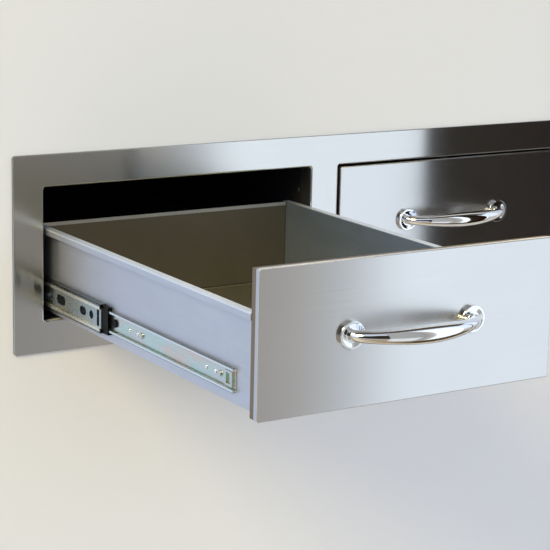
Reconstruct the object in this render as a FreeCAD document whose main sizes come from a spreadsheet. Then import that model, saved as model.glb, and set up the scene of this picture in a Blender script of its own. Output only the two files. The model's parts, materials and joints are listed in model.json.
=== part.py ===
import FreeCAD, Part
import math
import os
import re

import Sketcher
from FreeCAD import Placement, Rotation, Vector

# Built-in double drawer unit for an outdoor kitchen, in folded stainless sheet.
# One face frame holds two drawers side by side, each on a pair of ball-bearing slides.
# The left drawer is pulled out and the right one is closed.
# Row frame: origin at the middle of the frame's back, +X right, +Y into the wall, +Z up.

# Driving sizes in millimetres, the shares without a unit, each set once
SIZES = {
    # Face frame
    "opening_width": 396.5,
    "opening_height": 171,
    "mullion_width": 44,
    "border_width": 41.5,
    "frame_sheet": 1.2,
    "hem_width": 12,
    "jamb_depth": 32,
    "frame_corner": 4,
    "opening_corner": 3,
    "frame_edge": 0.8,
    "frame_bend": 2.2,
    "wall_screw_hole": 4.5,
    "wall_screw_setback": 9,
    "wall_screw_pitch": 110,
    # Housing behind the frame
    "plate_sheet": 1.5,
    "plate_setback": 20,
    "plate_flange": 12,
    "plate_room": 1,
    "panel_sheet": 1,
    "panel_setback": 2,
    "panel_lip": 14,
    "housing_depth": 585,
    "rear_lip": 16,
    "rivet_diameter": 3.2,
    "rivet_head": 6.4,
    "rivet_dome": 1.2,
    "rivet_tail": 0.8,
    "jamb_rivet_pitch": 150,
    "plate_rivet_pitch": 100,
    "rear_rivet_pitch": 230,
    # Drawer front
    "front_gap": 4,
    "front_sheet": 1,
    "front_depth": 16,
    "skin_return": 6.5,
    "backer_return": 13,
    "backer_room": 0.2,
    "front_corner": 2.5,
    "front_edge": 1.2,
    # Drawer tray
    "tray_sheet": 1,
    "tray_rise": 3,
    "tray_height": 111,
    "tray_length": 540,
    "tray_flange": 10,
    "tray_lip": 8,
    "tray_bend": 1.6,
    "tray_front_tab": 14,
    "tray_back_tab": 8,
    "tray_back_hem": 7,
    "front_screw_pitch": 60,
    # Slides: three nested members, counted from the plate towards the tray
    "slide_length": 500,
    "slide_thickness": 12.7,
    "slide_setback": 56,
    "slide_rise": 30,
    "slide_sheet": 1.2,
    "slide_bend": 1.8,
    "outer_height": 45.5,
    "outer_depth": 10.2,
    "outer_lip": 2,
    "mid_height": 36,
    "mid_reach": 12.2,
    "mid_inset": 2.2,
    "mid_shoulder": 6.5,
    "inner_height": 26.6,
    "inner_lip": 3,
    "mid_share": 0.4,
    "overtravel": 10,
    "left_open": 1,
    "right_open": 0,
    "slide_screw_first": 33,
    "slide_screw_last": 107,
    "spare_hole": 4.5,
    "spare_hole_near": 10,
    "spare_hole_far": 30,
    "access_hole": 10.5,
    "access_hole_station": 26,
    "access_slot_station": 49,
    "access_slot_length": 17,
    "access_window": 12,
    "access_window_station": 111,
    "access_window_length": 25,
    "end_slit_station": 8,
    "end_slit_width": 6,
    "end_slit_height": 20,
    "lug_setback": 4.5,
    "lug_length": 15,
    "lug_height": 17,
    "lug_rise": 2.2,
    "lug_wall": 2.5,
    # Ball cages
    "cage_sheet": 0.4,
    "cage_room": 0.3,
    "ball_room": 0.1,
    "outer_ball_margin": 21,
    "inner_ball_margin": 20,
    "outer_cage_slack": 28,
    "inner_cage_slack": 13,
    "outer_cage_reach": 9.6,
    "inner_cage_reach": 11.8,
    # End stop on the middle member
    "stop_front": 16,
    "stop_grip": 9,
    "stop_sheet": 0.6,
    "stop_room": 0.35,
    # Release lever in the inner member
    "lever_setback": 177,
    "lever_reach": 44,
    "lever_height": 6,
    "lever_thickness": 1.6,
    "lever_knob": 10,
    "lever_pin": 4,
    "lever_head": 6.4,
    "pin_head": 0.9,
    "lever_room": 0.05,
    # Screws
    "screw_diameter": 4,
    "screw_head": 7.2,
    "low_head": 1.1,
    "pan_head": 1.8,
    "screw_room": 0.05,
    "screw_tail": 3,
    # Pull handle
    "handle_centres": 160,
    "handle_reach": 36,
    "handle_fullness": 1.2,
    "handle_foot": 13,
    "handle_middle": 20.5,
    "handle_thread": 6,
    "rosette_diameter": 31.5,
    "rosette_height": 5,
    "rosette_ring": 3,
    "rosette_dish": 1,
    "rosette_margin": 2,
    "rosette_edge": 0.9,
}
BALLS_IN_OUTER_CAGE = 10
BALLS_IN_INNER_CAGE = 6
SCREWS_IN_SLIDE = 3
HANDLE_STATIONS = 12
DRAWERS = {"left": -1, "right": 1}
HANDS = {"left": -1, "right": 1}
NEAR = 1e-4

# Formulas in words of the sheet that several pieces share
FRAME_HALF_WIDTH = "(mullion_width / 2 + opening_width + border_width)"
FRAME_HALF_HEIGHT = "(opening_height / 2 + border_width)"
FACE = "(-2 * frame_sheet)"
BAY_CENTRE = "((mullion_width + opening_width) / 2)"
HALF_OPENING = "(opening_width / 2)"
HALF_OPENING_HEIGHT = "(opening_height / 2)"
FRONT_HALF_WIDTH = "(opening_width / 2 - front_gap)"
FRONT_HALF_HEIGHT = "(opening_height / 2 - front_gap)"
SLIDE_SEAT = "(opening_width / 2 - plate_sheet)"
HOUSING_HALF_HEIGHT = "(opening_height / 2 + frame_sheet)"
HOUSING_HALF_WIDTH = "(mullion_width / 2 + opening_width + plate_flange)"
TRAY_HALF_WIDTH = "(opening_width / 2 - plate_sheet - slide_thickness)"
TRAY_BOTTOM = "(-opening_height / 2 + front_gap + tray_rise)"
TRAY_TOP = "(-opening_height / 2 + front_gap + tray_rise + tray_height)"
SLIDE_LEVEL = "(-opening_height / 2 + front_gap + slide_rise)"
TRAVEL = "(slide_length + overtravel)"
SLIDE_SCREW_PITCH = f"((slide_length - slide_screw_first - slide_screw_last) / {SCREWS_IN_SLIDE - 1})"
LEVER_STATION = "(slide_length - lever_setback)"
OUTER_OVERLAP = f"(slide_length - mid_share * {TRAVEL})"
INNER_OVERLAP = f"(slide_length - (1 - mid_share) * {TRAVEL} - 2 * stop_grip)"
OUTER_CAGE_SEAT = "(slide_sheet + low_head + cage_room)"
MID_SEAT = "(slide_sheet + low_head + 2 * cage_room + cage_sheet)"
MID_WEB = f"({MID_SEAT} + mid_inset)"
INNER_CAGE_SEAT = f"({MID_WEB} + slide_sheet + cage_room)"
INNER_RIM = f"({INNER_CAGE_SEAT} + cage_sheet + cage_room)"
INNER_SEAT = "(slide_thickness - slide_sheet)"
OUTER_BALL_LINE = "((outer_height / 2 - slide_sheet + mid_height / 2) / 2)"
INNER_BALL_LINE = "((mid_height / 2 - slide_sheet + inner_height / 2) / 2)"
OUTER_BALL_RADIUS = "((outer_height / 2 - slide_sheet - mid_height / 2) / 2 - ball_room)"
INNER_BALL_RADIUS = "((mid_height / 2 - slide_sheet - inner_height / 2) / 2 - ball_room)"
OUTER_BALL_DEPTH = f"(({MID_SEAT} + outer_depth) / 2)"
INNER_BALL_DEPTH = f"(({INNER_CAGE_SEAT} + mid_reach) / 2)"
HANDLE_SEAT = "(rosette_height - rosette_dish)"
HANDLE_RISE = f"(handle_reach - {HANDLE_SEAT})"

DIRECTIONS = {
    "+x": Vector(1, 0, 0),
    "-x": Vector(-1, 0, 0),
    "+y": Vector(0, 1, 0),
    "-y": Vector(0, -1, 0),
    "+z": Vector(0, 0, 1),
    "-z": Vector(0, 0, -1),
}
OPPOSITE = {"+x": "-x", "-x": "+x", "+y": "-y", "-y": "+y", "+z": "-z", "-z": "+z"}

document = FreeCAD.newDocument("drawer_unit")
sheet = document.addObject("Spreadsheet::Sheet", "Sizes")
for row, (alias, size) in enumerate(SIZES.items(), 1):
    sheet.set(f"A{row}", alias)
    sheet.set(f"B{row}", str(size))
    sheet.setAlias(f"B{row}", alias)
document.recompute()
nodes = []


def cells(formula):
    """The expression on the sheet's cells for a formula in its words."""

    def cell(word):
        return f"Sizes.{word[0]}" if word[0] in SIZES else word[0]

    return re.sub(r"[a-z]\w*", cell, str(formula))


def value(formula):
    """The present value of a formula."""
    return float(sheet.evalExpression(cells(formula)))


def bind(thing, **formulas):
    """Ties properties of a thing to formulas."""
    for name, formula in formulas.items():
        thing.setExpression(name, cells(formula))
    return thing


def place(thing, x=0, y=0, z=0):
    """Ties the place of a thing to formulas."""
    for axis, formula in zip("xyz", (x, y, z)):
        thing.setExpression(f"Placement.Base.{axis}", cells(formula))
    return thing


def node(label, thing):
    """Names a finished piece, whose shape is written out under that name."""
    thing.Label = label
    nodes.append(thing)
    return thing


def box(x, y, z):
    """A block between a low and a high formula on each axis."""
    block = document.addObject("Part::Box", "block")
    for side, (low, high) in zip(("Length", "Width", "Height"), (x, y, z)):
        block.setExpression(side, cells(f"({high}) - ({low})"))
    return place(block, x[0], y[0], z[0])


def rod(direction, radius, length, x, y, z):
    """A round bar that starts at a point and runs in one direction."""
    bar = document.addObject("Part::Cylinder", "bar")
    bar.Placement = Placement(Vector(), Rotation(DIRECTIONS["+z"], DIRECTIONS[direction]))
    bind(bar, Radius=radius, Height=length)
    return place(bar, x, y, z)


def dome(direction, wide, narrow, height, x, y, z):
    """A low tapered head that starts at a point and narrows in one direction."""
    cap = document.addObject("Part::Cone", "cap")
    cap.Placement = Placement(Vector(), Rotation(DIRECTIONS["+z"], DIRECTIONS[direction]))
    bind(cap, Radius1=wide, Radius2=narrow, Height=height)
    return place(cap, x, y, z)


def fuse(pieces):
    """One solid out of pieces that touch or overlap."""
    joined = document.addObject("Part::MultiFuse", "joined")
    joined.Shapes = pieces
    joined.Refine = True
    return joined


def group(pieces):
    """Separate solids kept together."""
    bundle = document.addObject("Part::Compound", "bundle")
    bundle.Links = pieces
    return bundle


def cut(base, tools):
    """A piece with several tools taken out of it."""
    result = document.addObject("Part::Cut", "drilled")
    result.Base = base
    result.Tool = group(tools)
    return result


def new_body():
    """An empty body for sketched features."""
    return document.addObject("PartDesign::Body", "body")


def rectangle(x, z):
    """The corners of a rectangle between low and high formulas."""
    return [(x[0], z[0]), (x[1], z[0]), (x[1], z[1]), (x[0], z[1])]


def about_zero(half):
    """The range from minus a formula to plus that formula."""
    return f"-({half})", f"({half})"


def outward(hand, near, far, centre="0"):
    """The range from near to far of a centre, on the left or on the right of it."""
    if hand > 0:
        return f"({centre}) + ({near})", f"({centre}) + ({far})"
    return f"({centre}) - ({far})", f"({centre}) - ({near})"


def sketch(body, role, loops):
    """Closed outlines on one origin plane, with every corner tied to formulas."""
    plane = next(feature for feature in body.Origin.OriginFeatures if feature.Role == role)
    drawing = body.newObject("Sketcher::SketchObject", "outline")
    drawing.AttachmentSupport = [(plane, "")]
    drawing.MapMode = "FlatFace"
    for loop in loops:
        first = drawing.GeometryCount
        corners = [Vector(value(u), value(v), 0) for u, v in loop]
        for start, end in zip(corners, corners[1:] + corners[:1]):
            drawing.addGeometry(Part.LineSegment(start, end), False)
        for index, formulas in enumerate(loop):
            after = first + (index + 1) % len(loop)
            drawing.addConstraint(Sketcher.Constraint("Coincident", first + index, 2, after, 1))
            for kind, formula in zip(("DistanceX", "DistanceY"), formulas):
                reading = Sketcher.Constraint(kind, -1, 1, first + index, 1, value(formula))
                place_in_list = drawing.addConstraint(reading)
                drawing.setExpression(f"Constraints[{place_in_list}]", cells(formula))
    return drawing


def pad(body, loops, length):
    """Outlines in X and Z, thickened towards +Y."""
    feature = body.newObject("PartDesign::Pad", "pad")
    feature.Profile = sketch(body, "XZ_Plane", loops)
    feature.Reversed = True
    bind(feature, Length=length)
    document.recompute()
    return feature


def fillet(body, radius, wanted):
    """Rounds the edges of a body that a test picks."""
    document.recompute()
    base = body.Tip
    edges = [f"Edge{number}" for number, edge in enumerate(base.Shape.Edges, 1) if wanted(edge)]
    rounded = body.newObject("PartDesign::Fillet", "rounded")
    rounded.Base = (base, edges)
    bind(rounded, Radius=radius)
    document.recompute()
    return rounded


def along_y(corners):
    """A test for straight edges along Y that stand on given corners of an outline."""
    spots = [(value(x), value(z)) for x, z in corners]

    def wanted(edge):
        start = edge.Vertexes[0].Point
        end = edge.Vertexes[-1].Point
        if abs(start.x - end.x) > NEAR or abs(start.z - end.z) > NEAR or abs(start.y - end.y) < NEAR:
            return False
        return any(abs(start.x - x) < NEAR and abs(start.z - z) < NEAR for x, z in spots)

    return wanted


def at_front(edge):
    """Whether an edge lies in the foremost plane of its body."""
    span = edge.BoundBox
    return abs(span.YMin) < NEAR and abs(span.YMax) < NEAR


def beyond(half_width, half_height):
    """A test for edges whose middle lies outside a centred rectangle."""
    limit_x = value(half_width)
    limit_z = value(half_height)

    def wanted(edge):
        middle = edge.BoundBox.Center
        return abs(middle.x) > limit_x or abs(middle.z) > limit_z

    return wanted


def rivet(direction, grip, x, y, z):
    """A rivet with its domed head on a seat and its shank through the sheets behind it."""
    head = dome(direction, "rivet_head / 2", "rivet_diameter / 2", "rivet_dome", x, y, z)
    shank = rod(OPPOSITE[direction], "rivet_diameter / 2 - screw_room", f"({grip}) + rivet_tail", x, y, z)
    return fuse([head, shank])


def rivet_hole(direction, grip, x, y, z):
    """The hole that a rivet goes through."""
    return rod(OPPOSITE[direction], "rivet_diameter / 2", f"({grip}) + 2 * rivet_tail", x, y, z)


def screw(direction, head, length, x, y, z):
    """A screw with its flat head on a seat and its shank behind it."""
    cap = rod(direction, "screw_head / 2", head, x, y, z)
    shank = rod(OPPOSITE[direction], "screw_diameter / 2 - screw_room", length, x, y, z)
    return fuse([cap, shank])


def bay_centre(drawer):
    """The middle of one drawer's bay."""
    return f"({DRAWERS[drawer]} * {BAY_CENTRE})"


def slide_x(drawer, hand, depth):
    """A place across a slide, as a depth from its plate towards the tray."""
    return f"{bay_centre(drawer)} + {HANDS[hand]} * ({SLIDE_SEAT} - ({depth}))"


def slide_y(drawer, share, station):
    """A place along a slide, for a member that moves a share of the drawer's way."""
    return f"slide_setback + ({station}) - ({share}) * {drawer}_open * {TRAVEL}"


def drawer_y(drawer, depth):
    """A depth behind a drawer's visible face."""
    return f"{FACE} - {drawer}_open * {TRAVEL} + ({depth})"


def inwards(hand):
    """The direction from a slide's plate towards the tray."""
    return "-x" if HANDS[hand] > 0 else "+x"


def slide_stations():
    """The screw stations along a slide, from its front end."""
    return [f"(slide_screw_first + {number} * {SLIDE_SCREW_PITCH})" for number in range(SCREWS_IN_SLIDE)]


def rivet_places():
    """Each rivet's head direction, the sheets that it grips and its seat."""
    places = []
    for sign, up in ((1, "+z"), (-1, "-z")):
        for drawer in DRAWERS:
            for step in (-1, 0, 1):
                across = f"{bay_centre(drawer)} + {step} * jamb_rivet_pitch"
                seat = f"{sign} * ({HOUSING_HALF_HEIGHT} + panel_sheet)"
                places.append((up, "panel_sheet + frame_sheet", across, "plate_setback", seat))
            for hand in HANDS:
                across = slide_x(drawer, hand, "0")
                along = "(plate_setback + jamb_depth) / 2"
                level = f"{sign} * plate_rivet_pitch / 2"
                places.append((inwards(hand), "plate_sheet + frame_sheet", across, along, level))
        for step in (-1.5, -0.5, 0.5, 1.5):
            across = f"{step} * rear_rivet_pitch"
            seat = f"{sign} * ({HOUSING_HALF_HEIGHT} + 2 * panel_sheet)"
            places.append((up, "2 * panel_sheet", across, "housing_depth - rear_lip / 2", seat))
    return places


def make_face_frame(rivet_holes):
    """The face frame: a sheet with two openings, a hemmed rim and a jamb round each opening."""
    body = new_body()
    outer = rectangle(about_zero(FRAME_HALF_WIDTH), about_zero(FRAME_HALF_HEIGHT))
    inside_hem = rectangle(
        about_zero(f"{FRAME_HALF_WIDTH} - hem_width"), about_zero(f"{FRAME_HALF_HEIGHT} - hem_width")
    )
    half_mullion = "mullion_width / 2"
    far_edge = "mullion_width / 2 + opening_width"
    openings = []
    jambs = []
    for sign in DRAWERS.values():
        across = outward(sign, half_mullion, far_edge)
        wider = outward(sign, f"{half_mullion} - frame_sheet", f"{far_edge} + frame_sheet")
        openings.append(rectangle(across, about_zero(HALF_OPENING_HEIGHT)))
        jambs.append(rectangle(wider, about_zero(HOUSING_HALF_HEIGHT)))
    pad(body, [outer, *openings], "frame_sheet")
    pad(body, [outer, inside_hem], "2 * frame_sheet")
    for jamb, opening in zip(jambs, openings):
        pad(body, [jamb, opening], "2 * frame_sheet + jamb_depth")
    fillet(body, "frame_corner", along_y(outer))
    fillet(body, "opening_corner", along_y([corner for opening in openings for corner in opening]))
    fillet(body, "opening_corner + frame_sheet", along_y([corner for jamb in jambs for corner in jamb]))
    rim = beyond(f"{FRAME_HALF_WIDTH} - border_width / 2", f"{FRAME_HALF_HEIGHT} - border_width / 2")
    fillet(body, "frame_edge", lambda edge: at_front(edge) and rim(edge))
    fillet(body, "frame_bend", lambda edge: at_front(edge) and not rim(edge))
    place(body, 0, FACE, 0)
    wall_screws = []
    for sign, direction in ((-1, "+x"), (1, "-x")):
        for end in (-1, 1):
            outside = f"{sign} * ({far_edge} + 2 * frame_sheet)"
            level = f"{end} * wall_screw_pitch / 2"
            spot = (outside, "wall_screw_setback", level)
            wall_screws.append(rod(direction, "wall_screw_hole / 2", "3 * frame_sheet", *spot))
    node("face_frame", cut(body, [*rivet_holes, *wall_screws]))


def make_slide_plates(drawer, holes):
    """The two plates that carry one drawer's slides, lapped inside the jambs and flanged behind them."""
    behind = ("jamb_depth + plate_room", "housing_depth")
    for hand, sign in HANDS.items():
        web = outward(sign, SLIDE_SEAT, HALF_OPENING, bay_centre(drawer))
        rim = outward(sign, SLIDE_SEAT, f"{HALF_OPENING} + plate_flange", bay_centre(drawer))
        lap_height = about_zero(f"{HALF_OPENING_HEIGHT} - 2 * opening_corner")
        lap = box(web, ("plate_setback", "jamb_depth + 2 * plate_room"), lap_height)
        wall = box(web, behind, about_zero(HOUSING_HALF_HEIGHT))
        rims = []
        for end in (-1, 1):
            level = outward(end, f"{HOUSING_HALF_HEIGHT} - plate_sheet", HOUSING_HALF_HEIGHT)
            rims.append(box(rim, behind, level))
        node(f"{drawer}_bay_{hand}_plate", cut(fuse([lap, wall, *rims]), holes))


def make_housing_panels(rivet_holes):
    """The top, bottom and rear panels, which close the housing in."""
    along = ("panel_setback", "housing_depth")
    for name, sign in (("housing_top", 1), ("housing_bottom", -1)):
        far = f"{HOUSING_HALF_HEIGHT} + panel_sheet"
        level = outward(sign, HOUSING_HALF_HEIGHT, far)
        lip_level = outward(sign, f"{HOUSING_HALF_HEIGHT} - panel_lip", far)
        pieces = [box(about_zero(f"{HOUSING_HALF_WIDTH} + panel_sheet"), along, level)]
        for side in (-1, 1):
            across = outward(side, HOUSING_HALF_WIDTH, f"{HOUSING_HALF_WIDTH} + panel_sheet")
            pieces.append(box(across, along, lip_level))
        node(name, cut(fuse(pieces), rivet_holes))
    half_width = f"({HOUSING_HALF_WIDTH} + 2 * panel_sheet)"
    half_height = f"({HOUSING_HALF_HEIGHT} + 2 * panel_sheet)"
    rim = ("housing_depth - rear_lip", "housing_depth + panel_sheet")
    pieces = [box(about_zero(half_width), ("housing_depth", rim[1]), about_zero(half_height))]
    for side in (-1, 1):
        level = outward(side, f"{half_height} - panel_sheet", half_height)
        across = outward(side, f"{half_width} - panel_sheet", half_width)
        pieces.append(box(about_zero(half_width), rim, level))
        pieces.append(box(across, rim, about_zero(half_height)))
    node("housing_rear", cut(fuse(pieces), rivet_holes))


def make_front(drawer):
    """The drawer front: a folded skin with a folded backer nested in it."""
    skin = new_body()
    outline = rectangle(about_zero(FRONT_HALF_WIDTH), about_zero(FRONT_HALF_HEIGHT))
    hollow = rectangle(
        about_zero(f"{FRONT_HALF_WIDTH} - front_sheet"), about_zero(f"{FRONT_HALF_HEIGHT} - front_sheet")
    )
    pad(skin, [outline], "front_sheet")
    pad(skin, [outline, hollow], "skin_return")
    fillet(skin, "front_corner", along_y(outline))
    fillet(skin, "front_edge", at_front)
    half_width = f"({FRONT_HALF_WIDTH} - front_sheet - backer_room)"
    half_height = f"({FRONT_HALF_HEIGHT} - front_sheet - backer_room)"
    rim = ("front_depth - backer_return", "front_depth")
    web = ("front_depth - front_sheet", "front_depth")
    sheets = [box(about_zero(half_width), web, about_zero(half_height))]
    for side in (-1, 1):
        level = outward(side, f"{half_height} - front_sheet", half_height)
        across = outward(side, f"{half_width} - front_sheet", half_width)
        sheets.append(box(about_zero(half_width), rim, level))
        sheets.append(box(across, rim, about_zero(half_height)))
    handle_holes = []
    for side in (-1, 1):
        start = (f"{side} * handle_centres / 2", "-front_depth / 2", 0)
        handle_holes.append(rod("+y", "screw_diameter / 2", "2 * front_depth", *start))
    tab_holes = [
        rod("+y", "screw_diameter / 2", "front_depth", across, "front_depth / 2", level)
        for across, level in front_screw_places()
    ]
    spot = (bay_centre(drawer), drawer_y(drawer, "0"), 0)
    node(f"{drawer}_front_skin", place(cut(skin, handle_holes), *spot))
    node(f"{drawer}_front_backer", place(cut(fuse(sheets), [*handle_holes, *tab_holes]), *spot))


def front_screw_places():
    """Where the tray's front tabs are screwed to the backer."""
    places = []
    for side in (-1, 1):
        across = f"{side} * ({TRAY_HALF_WIDTH} - tray_sheet - tray_front_tab / 2)"
        for end in (-1, 1):
            level = f"({TRAY_BOTTOM} + tray_height / 2 + {end} * front_screw_pitch / 2)"
            places.append((across, level))
    return places


def make_tray(drawer):
    """The tray: one sheet folded into a floor and two sides with turned-down rims, and a separate back."""
    half = TRAY_HALF_WIDTH
    rim = f"({half} + tray_flange)"
    inner = f"({half} - tray_sheet)"
    rim_inner = f"({rim} - tray_sheet)"
    lip = f"({TRAY_TOP} - tray_lip)"
    under = f"({TRAY_TOP} - tray_sheet)"
    floor = f"({TRAY_BOTTOM} + tray_sheet)"
    right_half = [(inner, floor), (inner, TRAY_TOP), (rim, TRAY_TOP), (rim, lip), (rim_inner, lip)]
    right_half += [(rim_inner, under), (half, under), (half, TRAY_BOTTOM)]
    left_half = [(f"-{across}", level) for across, level in reversed(right_half)]
    folded = new_body()
    pad(folded, [right_half + left_half], "tray_length")
    bends = []
    for side in (1, -1):
        bends += [(f"{side} * {across}", TRAY_TOP) for across in (inner, rim)]
        bends.append((f"{side} * {half}", TRAY_BOTTOM))
    fillet(folded, "tray_bend", along_y(bends))
    place(folded, 0, "front_depth", 0)
    tabs = []
    for side in (-1, 1):
        across = outward(side, f"{inner} - tray_front_tab", half)
        level = (f"{TRAY_BOTTOM} + 2 * tray_bend", f"{TRAY_TOP} - 2 * tray_bend")
        tabs.append(box(across, ("front_depth", "front_depth + tray_sheet"), level))
    holes = [
        rod("+y", "screw_diameter / 2", "front_depth", across, "front_depth / 2", level)
        for across, level in front_screw_places()
    ]
    for hand in HANDS:
        start = f"{HANDS[hand]} * ({half} + tray_sheet)"
        for station in slide_stations():
            along = f"slide_setback + {station} - {FACE}"
            spot = (start, along, SLIDE_LEVEL)
            holes.append(rod(inwards(hand), "screw_diameter / 2", "3 * tray_sheet", *spot))
    spot = (bay_centre(drawer), drawer_y(drawer, "0"), 0)
    node(f"{drawer}_tray", place(cut(fuse([folded, *tabs]), holes), *spot))
    end = "(front_depth + tray_length)"
    web = f"({end} - tray_back_tab)"
    height = (floor, TRAY_TOP)
    pieces = [box(about_zero(inner), (web, f"{web} + tray_sheet"), height)]
    hem = (f"{TRAY_TOP} - tray_back_hem", TRAY_TOP)
    pieces.append(box(about_zero(inner), (f"{web} - tray_sheet", web), hem))
    for side in (-1, 1):
        pieces.append(box(outward(side, f"{inner} - tray_sheet", inner), (web, end), height))
    node(f"{drawer}_tray_back", place(fuse(pieces), *spot))
    seat = "front_depth + tray_sheet"
    length = "tray_sheet + front_sheet + screw_tail"
    screws = [
        screw("+y", "pan_head", length, across, seat, level)
        for across, level in front_screw_places()
    ]
    node(f"{drawer}_front_screws", place(group(screws), *spot))


def handle_ring(number):
    """One round section of a handle, square to the bow that runs from rosette to rosette."""
    turn = math.pi * number / HANDLE_STATIONS
    share = round(-math.cos(turn), 6)
    rise = round(math.sin(turn), 6)
    across = f"{share} * handle_centres / 2"
    out = f"-{HANDLE_SEAT} - {HANDLE_RISE} * {rise} ^ handle_fullness"
    run = f"handle_centres / 2 * {rise} ^ (2 - handle_fullness)"
    climb = f"{HANDLE_RISE} * handle_fullness * {share}"
    facing = f"rotation(vector(0; 0; 1); atan2({climb}; {run})) * rotation(vector(0; 1; 0); 90)"
    ring = document.addObject("Part::Circle", "ring")
    ring.setExpression("Placement", cells(f"placement(vector({across}; {out}; 0); {facing})"))
    return bind(ring, Radius=f"handle_foot / 2 + (handle_middle - handle_foot) / 2 * {rise} ^ 4")


def make_handle(drawer):
    """The bow handle on two round rosettes, with the screws that hold it through the front."""
    bow = document.addObject("Part::Loft", "bow")
    bow.Sections = [handle_ring(number) for number in range(HANDLE_STATIONS + 1)]
    bow.Solid = True
    bores = []
    screws = []
    rosettes = []
    for side in (-1, 1):
        across = f"{side} * handle_centres / 2"
        bores.append(rod("-y", "screw_diameter / 2", "handle_thread", across, f"-{HANDLE_SEAT}", 0))
        shank = f"front_depth + {HANDLE_SEAT} + handle_thread - screw_tail"
        screws.append(screw("+y", "pan_head", shank, across, "front_depth", 0))
        rosettes.append(place(make_rosette(), across, 0, 0))
    spot = (bay_centre(drawer), drawer_y(drawer, "0"), 0)
    node(f"{drawer}_handle", place(cut(bow, bores), *spot))
    node(f"{drawer}_handle_rosettes", place(group(rosettes), *spot))
    node(f"{drawer}_handle_screws", place(group(screws), *spot))


def make_rosette():
    """A round foot plate, turned with a flat ring and a dish where the handle sits."""
    body = new_body()
    bore = "screw_diameter / 2"
    edge = "rosette_diameter / 2"
    face = "-rosette_height"
    seat = f"-{HANDLE_SEAT}"
    section = [(bore, "0"), (edge, "0"), (edge, face), (f"{edge} - rosette_ring", face)]
    section += [("handle_foot / 2 + rosette_margin", seat), (bore, seat)]
    turned = body.newObject("PartDesign::Revolution", "turned")
    drawing = sketch(body, "XY_Plane", [section])
    turned.Profile = drawing
    turned.ReferenceAxis = (drawing, ["V_Axis"])
    document.recompute()
    limit = value(bore) + NEAR
    fillet(body, "rosette_edge", lambda edge: edge.BoundBox.YMax < -NEAR and edge.BoundBox.XMax > limit)
    return body


def channel(hand, upper, length, bends):
    """A channel along Y from the upper half of its section, given as depths and levels on a slide."""
    section = upper + [(depth, f"-({level})") for depth, level in reversed(upper)]
    across = [(f"{HANDS[hand]} * ({SLIDE_SEAT} - ({depth}))", level) for depth, level in section]
    body = new_body()
    pad(body, [across], length)
    if bends:
        rounded = [across[number] for number in bends] + [across[-1 - number] for number in bends]
        fillet(body, "slide_bend", along_y(rounded))
    return body


def c_section(web, rim, half, sheet):
    """The upper half of a C-shaped section, from its web to the rim of its flange."""
    inside = f"{half} - {sheet}"
    return [(web, half), (rim, half), (rim, inside), (f"{web} + {sheet}", inside)]


def on_slide(thing, drawer, share, station="0"):
    """Sets a member in its slide, for a share of the drawer's way and a station along the slide."""
    return place(thing, bay_centre(drawer), slide_y(drawer, share, station), SLIDE_LEVEL)


def plate_screw_holes(drawer, hand):
    """The holes through an outer member and its plate."""
    start = slide_x(drawer, hand, "2 * slide_sheet")
    away = OPPOSITE[inwards(hand)]
    length = "2 * slide_sheet + 2 * plate_sheet"
    return [
        rod(away, "screw_diameter / 2", length, start, slide_y(drawer, "0", station), SLIDE_LEVEL)
        for station in slide_stations()
    ]


def plate_screws(drawer, hand):
    """The low-headed screws that hold an outer member to its plate."""
    seat = slide_x(drawer, hand, "slide_sheet")
    length = "slide_sheet + plate_sheet + screw_tail"
    return [
        screw(inwards(hand), "low_head", length, seat, slide_y(drawer, "0", station), SLIDE_LEVEL)
        for station in slide_stations()
    ]


def make_outer_member(drawer, hand, holes):
    """The fixed member, a channel whose flanges end in lips that keep the balls in."""
    half = "outer_height / 2"
    inside = f"{half} - slide_sheet"
    rim = "outer_depth - slide_sheet"
    upper = [("0", half), ("outer_depth", half), ("outer_depth", f"{half} - outer_lip")]
    upper += [(rim, f"{half} - outer_lip"), (rim, inside), ("slide_sheet", inside)]
    body = on_slide(channel(hand, upper, "slide_length", [0]), drawer, "0")
    node(f"{drawer}_drawer_{hand}_slide_outer", cut(body, holes))


def slide_span(drawer, hand, shallow, deep):
    """The range across a slide between two depths from its plate."""
    return outward(HANDS[hand], f"{SLIDE_SEAT} - ({deep})", f"{SLIDE_SEAT} - ({shallow})", bay_centre(drawer))


def slide_levels(height):
    """The range of a height about the middle of a slide."""
    return f"{SLIDE_LEVEL} - ({height}) / 2", f"{SLIDE_LEVEL} + ({height}) / 2"


def mid_openings(drawer, hand):
    """Cutters for the middle member's web: a round hole, two round-ended slots and a slit near its end."""
    reach = "mid_inset + 2 * slide_sheet"
    start = slide_x(drawer, hand, MID_SEAT)
    across = slide_span(drawer, hand, MID_SEAT, f"{MID_SEAT} + {reach}")

    def along(station):
        return slide_y(drawer, "mid_share", station)

    def hole(station, height):
        return rod(inwards(hand), f"{height} / 2", reach, start, along(station), SLIDE_LEVEL)

    def block(station, length, height):
        ends = (along(f"{station} - ({length}) / 2"), along(f"{station} + ({length}) / 2"))
        return box(across, ends, slide_levels(height))

    cutters = [hole("access_hole_station", "access_hole")]
    for name, height in (("access_slot", "access_hole"), ("access_window", "access_window")):
        straight = f"({name}_length - {height})"
        cutters.append(block(f"{name}_station", straight, height))
        for end in (-1, 1):
            cutters.append(hole(f"{name}_station + {end} * {straight} / 2", height))
    cutters.append(block("end_slit_station", "end_slit_width", "end_slit_height"))
    return cutters


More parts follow.
